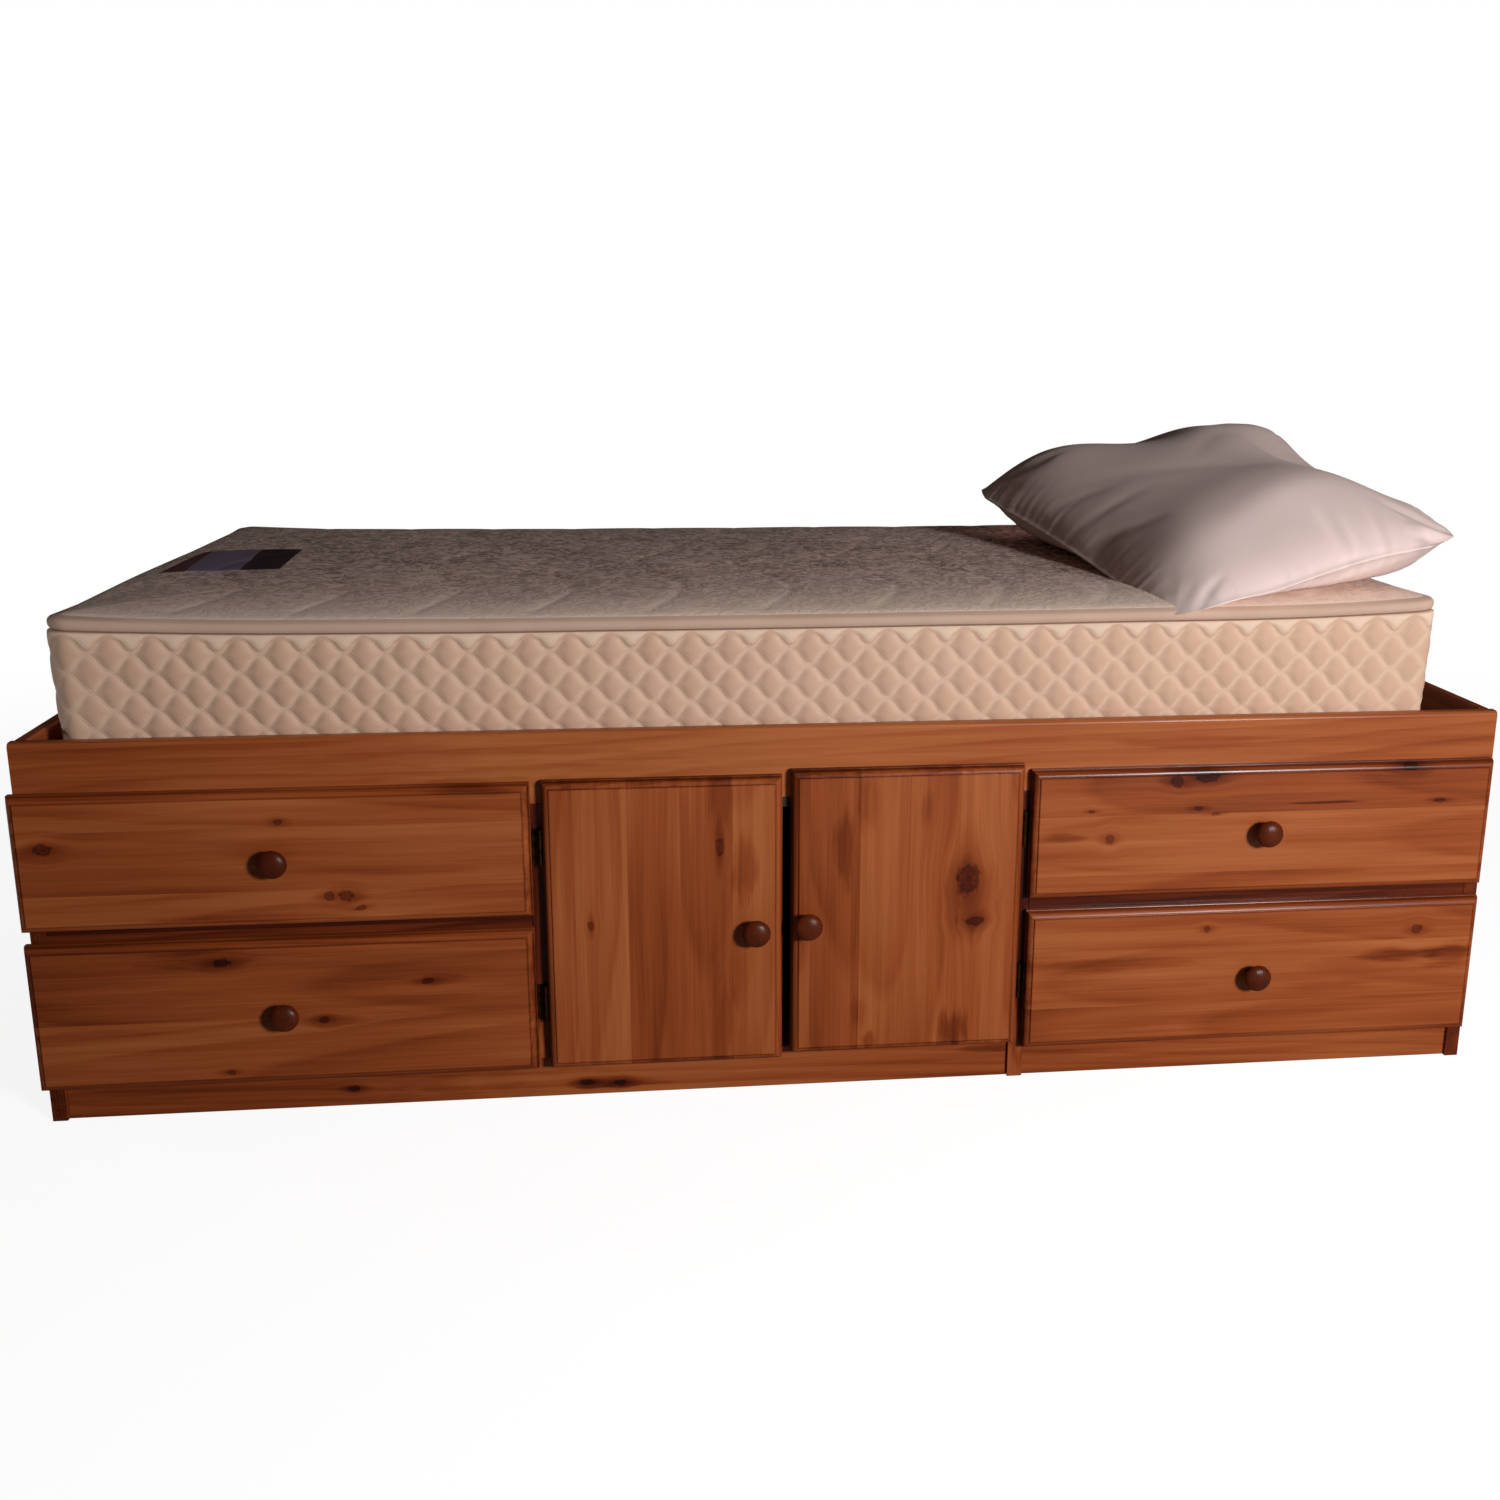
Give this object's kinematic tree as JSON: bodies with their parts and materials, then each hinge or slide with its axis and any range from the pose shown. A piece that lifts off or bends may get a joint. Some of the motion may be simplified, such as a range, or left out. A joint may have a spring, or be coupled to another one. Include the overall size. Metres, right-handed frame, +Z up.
{
  "type": "captains bed",
  "caption": "Twin captain's bed in stained knotty pine with end drawers, a two-door cupboard between them, a recessed mattress and a pillow.",
  "frame": {"origin": "on the floor, under the middle of the bed's outside box, knobs and the overhang of the drawer fronts included", "axes": "+X along the bed from the foot end to the head end, +Y from the drawer side to the back, +Z up"},
  "size_m": [2.046, 1.0833, 0.914],
  "materials": {
    "stained_pine": "satin",
    "stained_knob": "satin",
    "raw_pine": "matte",
    "plywood": "matte",
    "aged_brass": "satin",
    "catch_plastic": "matte",
    "ticking": "matte",
    "pillow_cotton": "matte"
  },
  "bodies": {
    "box": {"end_panel_foot": "stained_pine", "end_panel_head": "stained_pine", "back_panel": "stained_pine", "top_rail": "stained_pine", "partition_foot": "stained_pine", "partition_head": "stained_pine", "plinth_long": "stained_pine", "plinth_short": "stained_pine", "drawer_rail_foot": "stained_pine", "drawer_rail_head": "stained_pine", "cupboard_floor": "raw_pine", "deck_cleat_front": "raw_pine", "deck_cleat_back": "raw_pine", "deck_foot": "plywood", "deck_middle": "plywood", "deck_head": "plywood", "guide_lower_foot": "raw_pine", "guide_upper_foot": "raw_pine", "guide_lower_head": "raw_pine", "guide_upper_head": "raw_pine", "left_door_lower_frame_leaf": "aged_brass", "left_door_upper_frame_leaf": "aged_brass", "right_door_lower_frame_leaf": "aged_brass", "right_door_upper_frame_leaf": "aged_brass", "door_catch": "catch_plastic", "mattress": "ticking", "pillow": "pillow_cotton"},
    "lower_foot_drawer": {"lower_foot_drawer_front": "stained_pine", "lower_foot_drawer_left_side": "raw_pine", "lower_foot_drawer_right_side": "raw_pine", "lower_foot_drawer_back": "raw_pine", "lower_foot_drawer_bottom": "plywood", "lower_foot_drawer_knob": "stained_knob"},
    "upper_foot_drawer": {"upper_foot_drawer_front": "stained_pine", "upper_foot_drawer_left_side": "raw_pine", "upper_foot_drawer_right_side": "raw_pine", "upper_foot_drawer_back": "raw_pine", "upper_foot_drawer_bottom": "plywood", "upper_foot_drawer_knob": "stained_knob"},
    "lower_head_drawer": {"lower_head_drawer_front": "stained_pine", "lower_head_drawer_left_side": "raw_pine", "lower_head_drawer_right_side": "raw_pine", "lower_head_drawer_back": "raw_pine", "lower_head_drawer_bottom": "plywood", "lower_head_drawer_knob": "stained_knob"},
    "upper_head_drawer": {"upper_head_drawer_front": "stained_pine", "upper_head_drawer_left_side": "raw_pine", "upper_head_drawer_right_side": "raw_pine", "upper_head_drawer_back": "raw_pine", "upper_head_drawer_bottom": "plywood", "upper_head_drawer_knob": "stained_knob"},
    "left_door": {"left_door_panel": "stained_pine", "left_door_knob": "stained_knob", "left_door_lower_door_leaf": "aged_brass", "left_door_upper_door_leaf": "aged_brass"},
    "right_door": {"right_door_panel": "stained_pine", "right_door_knob": "stained_knob", "right_door_lower_door_leaf": "aged_brass", "right_door_upper_door_leaf": "aged_brass"}
  },
  "joints": [
    {"name": "lower_foot_drawer_slide", "type": "slide", "parent": "box", "child": "lower_foot_drawer", "axis": [0, -1, 0], "range_m": [0, 0.45]},
    {"name": "upper_foot_drawer_slide", "type": "slide", "parent": "box", "child": "upper_foot_drawer", "axis": [0, -1, 0], "range_m": [0, 0.45]},
    {"name": "lower_head_drawer_slide", "type": "slide", "parent": "box", "child": "lower_head_drawer", "axis": [0, -1, 0], "range_m": [0, 0.45]},
    {"name": "upper_head_drawer_slide", "type": "slide", "parent": "box", "child": "upper_head_drawer", "axis": [0, -1, 0], "range_m": [0, 0.45]},
    {"name": "left_door_hinge", "type": "hinge", "parent": "box", "child": "left_door", "pos_m": [-0.3402, -0.5015, 0.264], "axis": [0, 0, -1], "range_deg": [0, 90]},
    {"name": "right_door_hinge", "type": "hinge", "parent": "box", "child": "right_door", "pos_m": [0.3326, -0.5015, 0.271], "axis": [0, 0, 1], "range_deg": [0, 90]}
  ]
}
